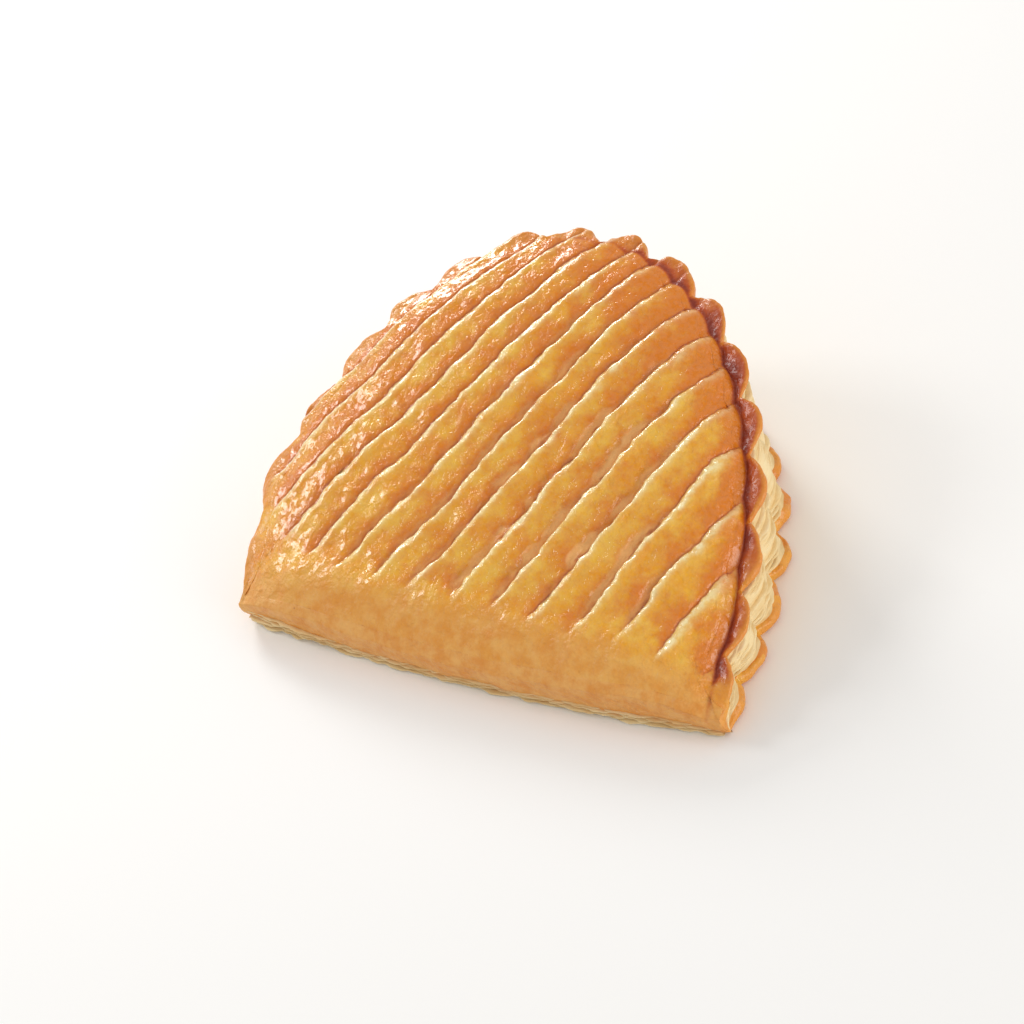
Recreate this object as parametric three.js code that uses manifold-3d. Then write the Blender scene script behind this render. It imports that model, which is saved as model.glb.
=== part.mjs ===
// A turnover pastry: a sheet of flaky pastry folded over its filling, cut in a fan of slanting
// slits, and sealed along its curved side by a scalloped cutter.
// Millimetres. X runs along the fold, Y from the fold to the back of the curved rim, Z is up.
import * as THREE from "three";
import { mergeVertices } from "three/addons/utils/BufferGeometryUtils.js";
import Module from "manifold-3d";

// plan of the pastry
const HALF_FOLD = 65.7; // half the length of the fold, which is the widest part
const DEPTH = 95.5; // from the fold to the back of the rim
const SQUARENESS = 2.1; // exponent of the arch: 2 is an ellipse, more is squarer
const BACK_LEAN = -5.4; // sideways lean of the back of the arch
const CORNER_TUCK = 7; // how far the left corner of the fold is drawn in
const TUCK_REACH = 14; // how far up the side that tuck is felt

// scalloped rim
const SCALLOPS = 17;
const SCALLOP_PITCH = 14.8; // along the rim, tip to tip
const FIRST_SCALLOP = 5.8; // from the right corner to the first tip
const SCALLOP_DEPTH = 3.6; // tip to notch
const PITCH_WOBBLE = 0.9; // hand-cut unevenness of the tips
const TIP_DROOP = 0.7; // how much the tips rise and fall

// heights
const CORNER_HEIGHT = 8.2; // rim at the ends of the fold
const RISE = 33.8; // how much higher the rim stands at the back
const DOME = 8; // swelling of the filling above the rim
const DOME_REACH = 12; // how quickly the dome rises from the crease
const CREASE_INSET = 5; // the pressed crease runs this far inside the scallop tips
const CREASE_DROP = 1.3;
const FOLD_ROUND = 12; // depth over which the folded edge rounds over
const FOLD_DROP = 0.5; // share of the height lost at the folded edge
const FOLD_BULGE = 4.2; // how far the folded edge bows forward in the middle
const FOLD_TUCK = 1.8; // how far its foot draws back under it
const BASE_INSET = 2.2; // rounding of the lower edge
const LOWER_LIP = 1.7; // height of the lower sheet's scalloped lip
const WALL_INSET = 2.6; // the flaky side wall stands this far inside the lips
const LIP = 2.4; // thickness of the upper sheet's scalloped lip

// slits
const SLITS = 14;
const SLIT_FIRST = -82; // where the first slit would meet the line SLIT_LINE
const SLIT_STEP = 10.1; // spacing along that line
const SLIT_UNEVEN = 1.1; // how far a slit strays from even spacing
const SLIT_LINE = 10; // a line beside the fold, at this depth
const SLIT_START = 4; // the slits start this far back from the fold,
const SLIT_START_STEP = 0.35; // a little further with each one to the right,
const SLIT_START_LEFT = 24; // and much further beside the left end of the fold
const FIRST_WHOLE_SLIT = 2;
const SLIT_SLANT = 0.65; // sideways run for each unit of depth, first slit
const SLIT_FAN = 0.027; // how much less each later slit slants
const SLIT_WIDTH = 3.4;
const SLIT_FULL_RUN = 50; // shorter slits gape less
const SLIT_CUT = 2.3; // depth of the cut below the crust
const SLIT_CLEAR = 1.6; // the cutting wedge stands this far above the crust
const SLIT_STEPS = 11;
const SLIT_TAPER = 0.35; // share of the width left at the two ends

// mesh fineness
const RIM_STEPS = 8; // steps in each scallop
const FOLD_STEPS = 28; // with the rim's steps this makes a multiple of four
const DOME_RINGS = 8;
const HALVING_RING = 4; // from here inwards the rings have a quarter of the points
const HUB = new THREE.Vector2(0, 42); // the rings of the dome close on this point
const WALL_FLAKES = [0.9, -0.6, 0.8]; // ridges of the flaky layers, low to high

// a fixed, smooth unevenness between -1 and 1
function wobble(u, seed) {
  return 0.5 * Math.sin(1.7 * u + seed) + 0.3 * Math.sin(4.1 * u + 2.3 * seed) + 0.2 * Math.sin(7.3 * u - seed);
}

// one point of the arch, turn 0 at the right corner and PI at the left
function archPoint(turn) {
  const c = Math.cos(turn);
  const s = Math.max(Math.sin(turn), 0);
  const y = DEPTH * Math.pow(s, 2 / SQUARENESS);
  let x = HALF_FOLD * Math.sign(c) * Math.pow(Math.abs(c), 2 / SQUARENESS);
  x += BACK_LEAN * (y / DEPTH);
  if (c < 0) x += CORNER_TUCK * Math.exp(-((y / TUCK_REACH) ** 2));
  return new THREE.Vector2(x, y);
}

// the arch measured by length, so that the scallops can be stepped off along it
const ARCH_SAMPLES = 800;
const arch = [];
for (let i = 0; i <= ARCH_SAMPLES; i += 1) {
  const point = archPoint((Math.PI * i) / ARCH_SAMPLES);
  const run = i === 0 ? 0 : arch[i - 1].run + point.distanceTo(arch[i - 1].point);
  arch.push({ point, run });
}
const ARCH_LENGTH = arch[ARCH_SAMPLES].run;

function onArch(run) {
  let i = arch.findIndex((sample) => sample.run >= run);
  i = Math.min(Math.max(i < 0 ? ARCH_SAMPLES : i, 1), ARCH_SAMPLES);
  const a = arch[i - 1];
  const b = arch[i];
  const point = a.point.clone().lerp(b.point, (run - a.run) / (b.run - a.run));
  const along = b.point.clone().sub(a.point).normalize();
  return { point, outward: new THREE.Vector2(along.y, -along.x) };
}

// height of the rim's plane above the base at a given depth
function rimHeight(y) {
  return CORNER_HEIGHT + RISE * Math.pow(THREE.MathUtils.clamp(y / DEPTH, 0, 1), SQUARENESS / 2);
}

// distance in from the arch, by its nearest sample
function insideArch(x, y) {
  let best = Infinity;
  for (let i = 0; i <= ARCH_SAMPLES; i += 4) {
    best = Math.min(best, Math.hypot(arch[i].point.x - x, arch[i].point.y - y));
  }
  return best;
}

// share of the full height left by the rounding of the folded edge
function foldShare(y) {
  const back = THREE.MathUtils.clamp((y + FOLD_BULGE) / FOLD_ROUND, 0, 1);
  return 1 - FOLD_DROP * Math.pow(1 - back, 2.4);
}

// height of the crust over a point of the plan
function crust(x, y) {
  const reach = Math.max(insideArch(x, y) - CREASE_INSET, 0);
  const dome = DOME * (1 - Math.exp(-reach / DOME_REACH));
  const dip = CREASE_DROP * Math.exp(-reach / 1.5);
  return (rimHeight(y) + dome - dip) * foldShare(y);
}

// the profile up the rim: [distance in from the tips, height] from base to crease
function rimProfile(run) {
  const { point } = onArch(run);
  const phase = (Math.PI * (run - FIRST_SCALLOP - PITCH_WOBBLE * wobble(run / 15, 1))) / SCALLOP_PITCH;
  const notch = SCALLOP_DEPTH * (1 - Math.pow(Math.abs(Math.cos(phase)), 0.9));
  const top = rimHeight(point.y) + TIP_DROOP * wobble(run / 9, 4);
  const wallTop = top - LIP;
  const rows = [
    [BASE_INSET + notch, 0],
    [notch + 0.3, LOWER_LIP * 0.5],
    [notch, LOWER_LIP],
  ];
  for (let i = 0; i < WALL_FLAKES.length; i += 1) {
    const share = (i + 0.5) / WALL_FLAKES.length;
    const height = LOWER_LIP + (wallTop - LOWER_LIP) * share;
    rows.push([WALL_INSET + 0.6 * notch - WALL_FLAKES[i], height]);
  }
  rows.push([notch + 0.5, wallTop + 0.2 * LIP]);
  rows.push([notch, top - 0.3 * LIP]);
  rows.push([notch + 1, top]);
  rows.push([CREASE_INSET, top - CREASE_DROP]);
  return rows;
}

const RIM_ROWS = rimProfile(0).length;

// the profile of the folded edge at one x, with as many rows as the rim has
function foldProfile(x) {
  const bow = FOLD_BULGE * (1 - (x / HALF_FOLD) ** 2);
  const height = crust(x, -bow);
  const rows = [];
  for (let i = 0; i < RIM_ROWS; i += 1) {
    const share = i / (RIM_ROWS - 1);
    if (share <= 0.5) {
      const swing = Math.sin(Math.PI * share);
      rows.push(new THREE.Vector3(x, -bow + FOLD_TUCK * (1 - swing) ** 1.6, height * share * 2));
    } else {
      const y = -bow + CREASE_INSET * (share - 0.5) * 2;
      rows.push(new THREE.Vector3(x, y, crust(x, y)));
    }
  }
  return rows;
}

// columns of points round the whole pastry: the rim from right to left, then the fold
const columns = [];
const rimSteps = SCALLOPS * RIM_STEPS;
for (let i = 0; i <= rimSteps; i += 1) {
  const run = (ARCH_LENGTH * i) / rimSteps;
  const { point, outward } = onArch(run);
  const column = rimProfile(run).map(([inset, z]) => {
    return new THREE.Vector3(point.x - outward.x * inset, point.y - outward.y * inset, z);
  });
  // near the corners of the fold the rim melts into the folded edge
  const blend = THREE.MathUtils.smoothstep(point.y, 0, 9);
  if (blend < 1) {
    const fold = foldProfile(point.x * 0.985);
    column.forEach((vertex, row) => vertex.lerp(fold[row], 1 - blend));
  }
  columns.push(column);
}
const leftX = columns[rimSteps][0].x;
const rightX = columns[0][0].x;
for (let i = 1; i < FOLD_STEPS; i += 1) {
  columns.push(foldProfile(THREE.MathUtils.lerp(leftX, rightX, i / FOLD_STEPS)));
}

// two neighbouring rings are joined; the inner one may have half as many points
function joinRings(indices, outer, inner) {
  const count = outer.length;
  const halved = inner.length < count;
  for (let i = 0; i < count; i += halved ? 2 : 1) {
    const a = outer[i];
    const b = outer[(i + 1) % count];
    if (halved) {
      const c = outer[(i + 2) % count];
      const p = inner[i / 2];
      const q = inner[(i / 2 + 1) % inner.length];
      indices.push(a, b, p, b, q, p, b, c, q);
    } else {
      const q = inner[(i + 1) % count];
      indices.push(a, b, q, a, q, inner[i]);
    }
  }
}

// the closed body of the pastry before its slits are cut
function bodyGeometry() {
  const positions = [];
  const indices = [];
  const place = (x, y, z) => positions.push(x, y, z) / 3 - 1;
  const rings = [];
  for (let row = 0; row < RIM_ROWS; row += 1) {
    rings.push(columns.map((column) => place(column[row].x, column[row].y, column[row].z)));
  }
  const edge = columns.map((column) => column[RIM_ROWS - 1]);
  for (let ring = 1; ring < DOME_RINGS; ring += 1) {
    const share = Math.pow(ring / DOME_RINGS, 1.15);
    const every = ring < HALVING_RING ? 2 : 4;
    const kept = edge.filter((vertex, i) => i % every === 0);
    rings.push(kept.map((vertex) => {
      const x = THREE.MathUtils.lerp(vertex.x, HUB.x, share);
      const y = THREE.MathUtils.lerp(vertex.y, HUB.y, share);
      return place(x, y, crust(x, y));
    }));
  }
  for (let i = 1; i < rings.length; i += 1) joinRings(indices, rings[i - 1], rings[i]);
  const top = place(HUB.x, HUB.y, crust(HUB.x, HUB.y));
  const bottom = place(HUB.x, HUB.y, 0);
  const last = rings[rings.length - 1];
  last.forEach((vertex, i) => indices.push(vertex, last[(i + 1) % last.length], top));
  const first = rings[0];
  first.forEach((vertex, i) => indices.push(first[(i + 1) % first.length], vertex, bottom));
  const geometry = new THREE.BufferGeometry();
  geometry.setAttribute("position", new THREE.Float32BufferAttribute(positions, 3));
  geometry.setIndex(indices);
  return geometry;
}

// a wedge that follows one slit over the crust: a gentle wall to the left, a steep one to the right
function slitGeometry(index) {
  const slant = SLIT_SLANT - SLIT_FAN * index;
  const startX = SLIT_FIRST + SLIT_STEP * index + SLIT_UNEVEN * wobble(index * 2, 3);
  const leftEnd = SLIT_START_LEFT * Math.exp((FIRST_WHOLE_SLIT - index) / 1.3);
  const startY = SLIT_START + SLIT_START_STEP * index + leftEnd;
  const inside = [];
  for (let y = startY; y < DEPTH; y += 0.5) {
    const x = startX + slant * (y - SLIT_LINE);
    const within = Math.abs((x - BACK_LEAN * (y / DEPTH)) / HALF_FOLD) ** SQUARENESS
      + (y / DEPTH) ** SQUARENESS < 1;
    if (within && insideArch(x, y) > CREASE_INSET * 0.7) inside.push(new THREE.Vector2(x, y));
  }
  if (inside.length < 12) return null;
  const positions = [];
  const indices = [];
  const across = new THREE.Vector2(1, -slant).normalize();
  const run = inside[0].distanceTo(inside[inside.length - 1]);
  const width = SLIT_WIDTH * Math.min(1, run / SLIT_FULL_RUN);
  for (let i = 0; i <= SLIT_STEPS; i += 1) {
    const share = i / SLIT_STEPS;
    const spot = inside[Math.round(share * (inside.length - 1))];
    const ease = SLIT_TAPER + (1 - SLIT_TAPER) * Math.sin(Math.PI * Math.min(share * 1.1, 1)) ** 0.7;
    const left = -0.72 * width * ease;
    const right = 0.28 * width * ease;
    const height = crust(spot.x, spot.y);
    const section = [
      [left * 1.5, SLIT_CLEAR],
      [-0.05 * width, -SLIT_CUT * ease],
      [0.6 * right, -SLIT_CUT * ease],
      [right * 1.3, SLIT_CLEAR],
    ];
    section.forEach(([side, lift]) => {
      positions.push(spot.x + across.x * side, spot.y + across.y * side, height + lift);
    });
  }
  const corners = 4;
  for (let i = 0; i < SLIT_STEPS; i += 1) {
    for (let j = 0; j < corners; j += 1) {
      const a = i * corners + j;
      const b = i * corners + ((j + 1) % corners);
      indices.push(a, a + corners, b + corners, a, b + corners, b);
    }
  }
  const end = SLIT_STEPS * corners;
  indices.push(0, 1, 2, 0, 2, 3);
  indices.push(end, end + 2, end + 1, end, end + 3, end + 2);
  const geometry = new THREE.BufferGeometry();
  geometry.setAttribute("position", new THREE.Float32BufferAttribute(positions, 3));
  geometry.setIndex(indices);
  return geometry;
}

const wasm = await Module();
wasm.setup();

function toSolid(geometry) {
  const merged = mergeVertices(geometry, 1e-4);
  const vertProperties = new Float32Array(merged.attributes.position.array);
  const triVerts = new Uint32Array(merged.index.array);
  return new wasm.Manifold(new wasm.Mesh({ numProp: 3, vertProperties, triVerts }));
}

let body = toSolid(bodyGeometry());
for (let i = 0; i < SLITS; i += 1) {
  const wedge = slitGeometry(i);
  if (wedge) body = body.subtract(toSolid(wedge));
}

// any crumb that the wedges part from the pastry is dropped
const [whole] = body.decompose().sort((a, b) => b.volume() - a.volume());
const cut = whole.getMesh();
const pastryGeometry = new THREE.BufferGeometry();
pastryGeometry.setAttribute("position", new THREE.Float32BufferAttribute(cut.vertProperties, 3));
pastryGeometry.setIndex(new THREE.Uint32BufferAttribute(cut.triVerts, 1));

// the origin is under the middle of the pastry, on its base
pastryGeometry.computeBoundingBox();
const middle = pastryGeometry.boundingBox.getCenter(new THREE.Vector3());
pastryGeometry.translate(-middle.x, -middle.y, -pastryGeometry.boundingBox.min.z);
pastryGeometry.computeVertexNormals();

const crustMaterial = new THREE.MeshStandardMaterial({
  color: 0xd6862f,
  roughness: 0.4,
  metalness: 0,
});

const turnover = new THREE.Mesh(pastryGeometry, crustMaterial);
turnover.name = "turnover";

const pastry = new THREE.Group();
pastry.add(turnover);

export default pastry;
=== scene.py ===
# Turnover pastry: glazed crust with its fan of slits, scalloped rim, flaky side and folded edge.
# Shapes are worked out in pastry millimetres (X along the fold, Y back from it, Z up),
# then scaled and placed to the solid's own box.
import math
import bpy
import numpy as np
from mathutils import Matrix, Vector


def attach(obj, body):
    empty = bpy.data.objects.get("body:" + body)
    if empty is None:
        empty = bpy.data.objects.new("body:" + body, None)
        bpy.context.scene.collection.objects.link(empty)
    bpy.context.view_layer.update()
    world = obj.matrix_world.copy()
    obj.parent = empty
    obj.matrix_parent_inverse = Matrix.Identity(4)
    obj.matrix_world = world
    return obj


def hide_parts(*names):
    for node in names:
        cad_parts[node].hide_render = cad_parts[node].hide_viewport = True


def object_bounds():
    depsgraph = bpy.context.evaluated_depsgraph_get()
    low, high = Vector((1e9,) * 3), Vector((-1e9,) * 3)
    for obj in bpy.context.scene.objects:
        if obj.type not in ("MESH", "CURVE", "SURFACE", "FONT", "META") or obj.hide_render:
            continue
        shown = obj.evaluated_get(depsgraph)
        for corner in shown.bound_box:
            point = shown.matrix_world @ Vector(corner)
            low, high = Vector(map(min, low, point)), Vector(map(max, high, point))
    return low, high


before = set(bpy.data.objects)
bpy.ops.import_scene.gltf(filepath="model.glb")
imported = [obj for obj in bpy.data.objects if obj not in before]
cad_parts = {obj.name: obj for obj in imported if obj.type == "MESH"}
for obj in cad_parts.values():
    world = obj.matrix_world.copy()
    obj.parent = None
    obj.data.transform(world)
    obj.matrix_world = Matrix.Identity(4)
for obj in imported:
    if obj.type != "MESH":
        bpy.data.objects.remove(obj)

cadLow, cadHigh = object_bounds()
print("pastry: frame loaded")

# plan and heights that every piece shares
plan = {
    "length": 129.56, "middleX": 0.2, "middleY": 45.45,     # the solid's box in pastry millimetres
    "halfFold": 65.7, "depth": 95.5, "squareness": 2.1, "backLean": -5.4,
    "cornerTuck": 7.0, "tuckReach": 14.0,
    "cornerHeight": 8.2, "rise": 33.8, "dome": 8.0, "domeReach": 12.0,
    "creaseInset": 5.0, "creaseDrop": 1.3, "creaseWidth": 1.5, "creaseWave": 0.4,
    "creaseFilled": 0.95, "creaseEnd": (4.0, 10.0), "crownShift": 3.0, "openRim": (76.0, 122.0),
    "foldRound": 12.0, "foldDrop": 0.5, "foldCurve": 2.4, "foldBulge": 4.2, "foldTuck": 1.8,
    "face": (1.0, 8.5),
    "scallopPitch": 14.8, "firstScallop": 5.8, "scallopDepth": 3.6, "scallopRound": 0.9,
    "lastStretch": 12.0, "lastScallop": (226.0, 258.0),
    "pitchWaver": (0.9, 15, 1), "tipDroop": (0.7, 9, 4),    # wavers: most, length, seed
    "waves": ((0.5, 1.7, 1.0), (0.3, 4.1, 2.3), (0.2, 7.3, -1.0)),      # share, turn, shift
}
mm = (cadHigh.x - cadLow.x) / plan["length"]                # one pastry millimetre, in metres
middle = np.array([plan["middleX"], plan["middleY"], 0.0])


def place(points):                                          # pastry millimetres to metres
    return (np.asarray(points, float) - middle) * mm


def wobble(u, seed):                                        # smooth fixed unevenness, -1 to 1
    return sum(share * np.sin(turn * u + shift * seed) for share, turn, shift in plan["waves"])


def waver(run, most, length, seed):                         # the same along a run, in millimetres
    return most * wobble(run / length, seed)


def ease(low, high, x):                                     # smooth step from 0 to 1
    share = np.clip((x - low) / (high - low), 0, 1)
    return share * share * (3 - 2 * share)


def traceArch(samples=1600):                                # the curved side, right corner to left
    turn = np.linspace(0, math.pi, samples)
    cosine = np.cos(turn)
    sine = np.clip(np.sin(turn), 0, None)
    power = 2 / plan["squareness"]
    y = plan["depth"] * sine ** power
    x = plan["halfFold"] * np.sign(cosine) * np.abs(cosine) ** power + plan["backLean"] * y / plan["depth"]
    x += np.where(cosine < 0, plan["cornerTuck"] * np.exp(-(y / plan["tuckReach"]) ** 2), 0)
    run = np.concatenate([[0], np.cumsum(np.hypot(np.diff(x), np.diff(y)))])
    alongX = np.gradient(x, run)
    alongY = np.gradient(y, run)
    size = np.hypot(alongX, alongY)
    return {"x": x, "y": y, "run": run, "outX": alongY / size, "outY": -alongX / size}


arch = traceArch()
archLength = arch["run"][-1]


def onArch(run):
    return [np.interp(run, arch["run"], arch[key]) for key in ("x", "y", "outX", "outY")]


def nearest(loopX, loopY, x, y, batch=20000):               # distance to a loop's closest point, and which
    flatX = np.ravel(x)
    flatY = np.ravel(y)
    distance = np.empty(len(flatX))
    index = np.empty(len(flatX), int)
    for start in range(0, len(flatX), batch):
        part = slice(start, start + batch)
        gap = np.hypot(flatX[part, None] - loopX, flatY[part, None] - loopY)
        index[part] = gap.argmin(1)
        distance[part] = gap.min(1)
    return distance.reshape(np.shape(x)), index.reshape(np.shape(x))


def nearArch(x, y, step=3):                                 # distance in from the arch, and where along it
    distance, index = nearest(arch["x"][::step], arch["y"][::step], x, y)
    return distance, arch["run"][::step][index]


def rimHeight(y):
    return plan["cornerHeight"] + plan["rise"] * np.clip(y / plan["depth"], 0, 1) ** (plan["squareness"] / 2)


# the fan of slits, the same rule for the relief, the colours and the crease
slits = {
    "first": -82.0, "step": 10.1, "line": 10.0, "slant": 0.65, "fan": 0.027, "pitch": 0.9,
    "start": 2.5, "startStep": 0.35, "startLeft": 14.0, "firstWhole": 2.0, "leftFade": 2.2, "startVary": 8,
    "closed": 0.12, "gape": 2.1, "widest": 9.2, "spread": 4.2, "floorEdge": (-0.3, 0.5),
    "fromStart": (-2.0, 4.0), "inward": (5.0, 6.2),         # where a slit begins
    "openFromStart": (-1.0, 5.0), "openInward": (10.0, 30.0), "openWidth": (0.3, 0.62),     # where it gapes
    "waver": 1.8, "waverNoise": (19.0, 1.0, 0.5, 3.0),      # noises: size, detail, roughness, seed
    "ripple": 1.5, "rippleNoise": (5.0, 2.0, 0.6, 8.0), "widthNoise": (8.0, 1.0, 0.5, 5.0),
}


def stripNumber(x, y):
    back = y - slits["line"]
    return (x - slits["first"] - slits["slant"] * back) / (slits["step"] - slits["fan"] * back)


def alongStrip(number, y):                                  # x where the strip of that number passes y
    back = y - slits["line"]
    return slits["first"] + slits["slant"] * back + number * (slits["step"] - slits["fan"] * back)


def creaseAt(run):                                          # the crease bows out between two slits
    x, y, outX, outY = onArch(run)
    number = stripNumber(x - outX * plan["creaseInset"], y - outY * plan["creaseInset"])
    return plan["creaseInset"] + plan["creaseWave"] * (1 - 2 * np.abs(np.sin(math.pi * number)))


def openRim(run):                                           # 1 where slits cross the edge, left and top
    return ease(*plan["openRim"], run)


def crown(reach, run):                                      # height over the rim's plane, with the crease
    crease = creaseAt(run)
    start = crease - plan["crownShift"] * openRim(run)
    dome = plan["dome"] * (1 - np.exp(-np.clip(reach - start, 0, None) / plan["domeReach"]))
    depth = plan["creaseDrop"] * (1 - plan["creaseFilled"] * openRim(run)) * ease(*plan["creaseEnd"], run)
    return dome - depth * np.exp(-np.abs(reach - crease) / plan["creaseWidth"])


def crustHeight(x, y, reach, run):                          # the crust before its slits
    back = np.clip((y + plan["foldBulge"]) / plan["foldRound"], 0, 1)
    foldShare = 1 - plan["foldDrop"] * (1 - back) ** plan["foldCurve"]
    return (rimHeight(y) + crown(reach, run)) * foldShare


def foldBow(x):                                             # how far forward the fold bows
    return plan["foldBulge"] * (1 - np.clip(x / plan["halfFold"], -1, 1) ** 2)


def scallop(run):                                           # how far the scalloped edge lies inside its tips
    along = run - plan["lastStretch"] * ease(*plan["lastScallop"], run)
    phase = math.pi * (along - plan["firstScallop"] - waver(run, *plan["pitchWaver"]))
    return plan["scallopDepth"] * (1 - np.abs(np.cos(phase / plan["scallopPitch"])) ** plan["scallopRound"])


# how dark the rim has baked: places along the arch with a level each, and how far in it fades
baking = {
    "levels": ((0, 0.4), (6, 0.5), (10, 1.1), (14, 1.1), (18, 0.8), (30, 0.78), (40, 1), (85, 1),
               (112, 0.8), (140, 0.45), (175, 0.2)),
    "fadeStart": 5, "fadeEnd": 12, "wider": 20, "widerFrom": (60, 90),
}


def browning(run, reach):
    level = np.interp(run, *zip(*baking["levels"]))
    fadeEnd = baking["fadeEnd"] + baking["wider"] * ease(*baking["widerFrom"], run)
    return level * (1 - ease(baking["fadeStart"], fadeEnd, reach))


# mesh helpers
def gridFaces(rows, columns, closed=False):
    row, column = np.meshgrid(np.arange(rows - 1), np.arange(columns - (0 if closed else 1)), indexing="ij")
    nextColumn = (column + 1) % columns
    here = row * columns
    above = (row + 1) * columns
    corners = [here + column, here + nextColumn, above + nextColumn, above + column]
    return np.stack(corners, -1).reshape(-1, 4)


def meshPiece(name, points, faces, marks):
    mesh = bpy.data.meshes.new(name)
    mesh.from_pydata(points.tolist(), [], faces)
    for mark, values in marks.items():
        layer = mesh.attributes.new(mark, "FLOAT", "POINT")
        layer.data.foreach_set("value", np.ravel(values).astype(np.float32))
    mesh.polygons.foreach_set("use_smooth", np.ones(len(mesh.polygons), bool))
    piece = bpy.data.objects.new(name, mesh)
    bpy.context.scene.collection.objects.link(piece)
    return piece


# node maths written as expressions
class Wire:
    def __init__(self, tree, socket=None):
        self.tree = tree
        self.socket = socket

    def add(self, kind, settings=None, values=None, out=0):  # any node: its settings come first
        node = self.tree.nodes.new(kind)
        for name, value in (settings or {}).items():
            setattr(node, name, value)
        for key, value in (values or {}).items():
            if isinstance(value, Wire):
                self.tree.links.new(value.socket, node.inputs[key])
            else:
                node.inputs[key].default_value = value
        return Wire(self.tree, node.outputs[out])

    def maths(self, operation, *terms):
        return self.add("ShaderNodeMath", {"operation": operation}, dict(enumerate(terms)))

    def __add__(self, other):
        return self.maths("ADD", self, other)

    def __sub__(self, other):
        return self.maths("SUBTRACT", self, other)

    def __rsub__(self, other):
        return self.maths("SUBTRACT", other, self)

    def __mul__(self, other):
        return self.maths("MULTIPLY", self, other)

    def __truediv__(self, other):
        return self.maths("DIVIDE", self, other)

    def __rtruediv__(self, other):
        return self.maths("DIVIDE", other, self)

    __radd__ = __add__
    __rmul__ = __mul__


def smooth(low, high, value):                               # smooth step of a wire
    settings = {"interpolation_type": "SMOOTHSTEP"}
    return value.add("ShaderNodeMapRange", settings, {0: value, 1: low, 2: high, 3: 0.0, 4: 1.0})


def fade(value, length):                                    # exp(-value / length)
    return value.maths("EXPONENT", value * (-1 / length))


def hump(value):                                            # 1 at 0, falling away on both sides
    return fade(value * value, 1.0)


def noise(spot, size, detail, rough, seed):                 # 0 to 1, features about size across
    values = {"Vector": spot, "W": seed, "Scale": 1 / size, "Detail": detail, "Roughness": rough}
    return spot.add("ShaderNodeTexNoise", {"noise_dimensions": "4D"}, values)


def mixColour(share, low, high):
    return share.add("ShaderNodeMix", {"data_type": "RGBA"}, {0: share, 6: low, 7: high}, out=2)


def paint(red, green, blue):                                # screen colour, 0 to 255, to linear light
    return tuple((c / 255 / 12.92) if c < 10.3 else ((c / 255 + 0.055) / 1.055) ** 2.4
                 for c in (red, green, blue)) + (1.0,)


def slitField(spot, reach):                                 # how far each side's slit is, and how open
    x, y = [spot.add("ShaderNodeSeparateXYZ", None, {0: spot}, out=axis) for axis in ("X", "Y")]
    back = y - slits["line"]
    step = slits["step"] - slits["fan"] * back
    drift = (noise(spot, *slits["waverNoise"]) - 0.5) * (2 * slits["waver"])
    ripple = (noise(spot, *slits["rippleNoise"]) - 0.5) * (2 * slits["ripple"])
    count = (x - slits["first"] - slits["slant"] * back + drift + ripple) / step
    cell = count.maths("FLOOR", count)
    part = count - cell
    pitch = step * slits["pitch"]
    width = noise(spot, *slits["widthNoise"])
    field = {"right": (1 - part) * pitch, "left": part * pitch}
    for side, index in (("Left", cell), ("Right", cell + 1)):
        beginning = (slits["start"] + index * slits["startStep"]
                     + fade(index - slits["firstWhole"], slits["leftFade"]) * slits["startLeft"])
        along = y - beginning - (width - 0.5) * slits["startVary"]
        openness = hump((index - slits["widest"]) / slits["spread"])
        openness = openness * smooth(*slits["openFromStart"], along) * smooth(*slits["openInward"], reach)
        field["on" + side] = smooth(*slits["fromStart"], along)
        field["open" + side] = openness * smooth(*slits["openWidth"], width)
    gape = field["openRight"] * slits["gape"] + slits["closed"]
    field["floor"] = field["openRight"] * (1 - smooth(*slits["floorEdge"], field["right"] - gape))
    return field


def slitLines(field, width):                                # 1 on the slits themselves
    return field["onLeft"] * fade(field["left"], width) + field["onRight"] * fade(field["right"], width)


def mmPlace(vector):                                        # object metres to pastry millimetres
    scaled = vector.add("ShaderNodeVectorMath", {"operation": "SCALE"}, {0: vector, "Scale": 1 / mm})
    return vector.add("ShaderNodeVectorMath", {"operation": "ADD"}, {0: scaled, 1: tuple(middle)})


# geometry node trees
def newTree(name, sizes):
    tree = bpy.data.node_groups.new(name, "GeometryNodeTree")
    tree.interface.new_socket("Geometry", in_out="INPUT", socket_type="NodeSocketGeometry")
    for size in sizes:
        kind = "NodeSocketInt" if size == "Layers" else "NodeSocketFloat"
        tree.interface.new_socket(size, in_out="INPUT", socket_type=kind)
    tree.interface.new_socket("Finish", in_out="INPUT", socket_type="NodeSocketMaterial")
    tree.interface.new_socket("Geometry", in_out="OUTPUT", socket_type="NodeSocketGeometry")
    source = tree.nodes.new("NodeGroupInput")
    return tree, {socket.name: Wire(tree, socket) for socket in source.outputs}


def endTree(start, shape, finish):
    solid = start.add("GeometryNodeRealizeInstances", None, {0: shape})
    painted = start.add("GeometryNodeSetMaterial", None, {"Geometry": solid, "Material": finish})
    smoothed = start.add("GeometryNodeSetShadeSmooth", None, {0: painted})
    output = start.tree.nodes.new("NodeGroupOutput")
    start.tree.links.new(smoothed.socket, output.inputs[0])


def growTree(piece, tree, values):                          # set the inputs, evaluate, keep the plain mesh
    modifier = piece.modifiers.new(tree.name, "NODES")
    modifier.node_group = tree
    for item in tree.interface.items_tree:
        if item.in_out == "INPUT" and item.name in values:
            modifier[item.identifier] = values[item.name]
    grown = piece.evaluated_get(bpy.context.evaluated_depsgraph_get())
    mesh = bpy.data.meshes.new_from_object(grown)
    piece.modifiers.clear()
    piece.data = mesh
    return piece


def namedMark(start, name):
    return start.add("GeometryNodeInputNamedAttribute", {"data_type": "FLOAT"}, {"Name": name})


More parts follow.
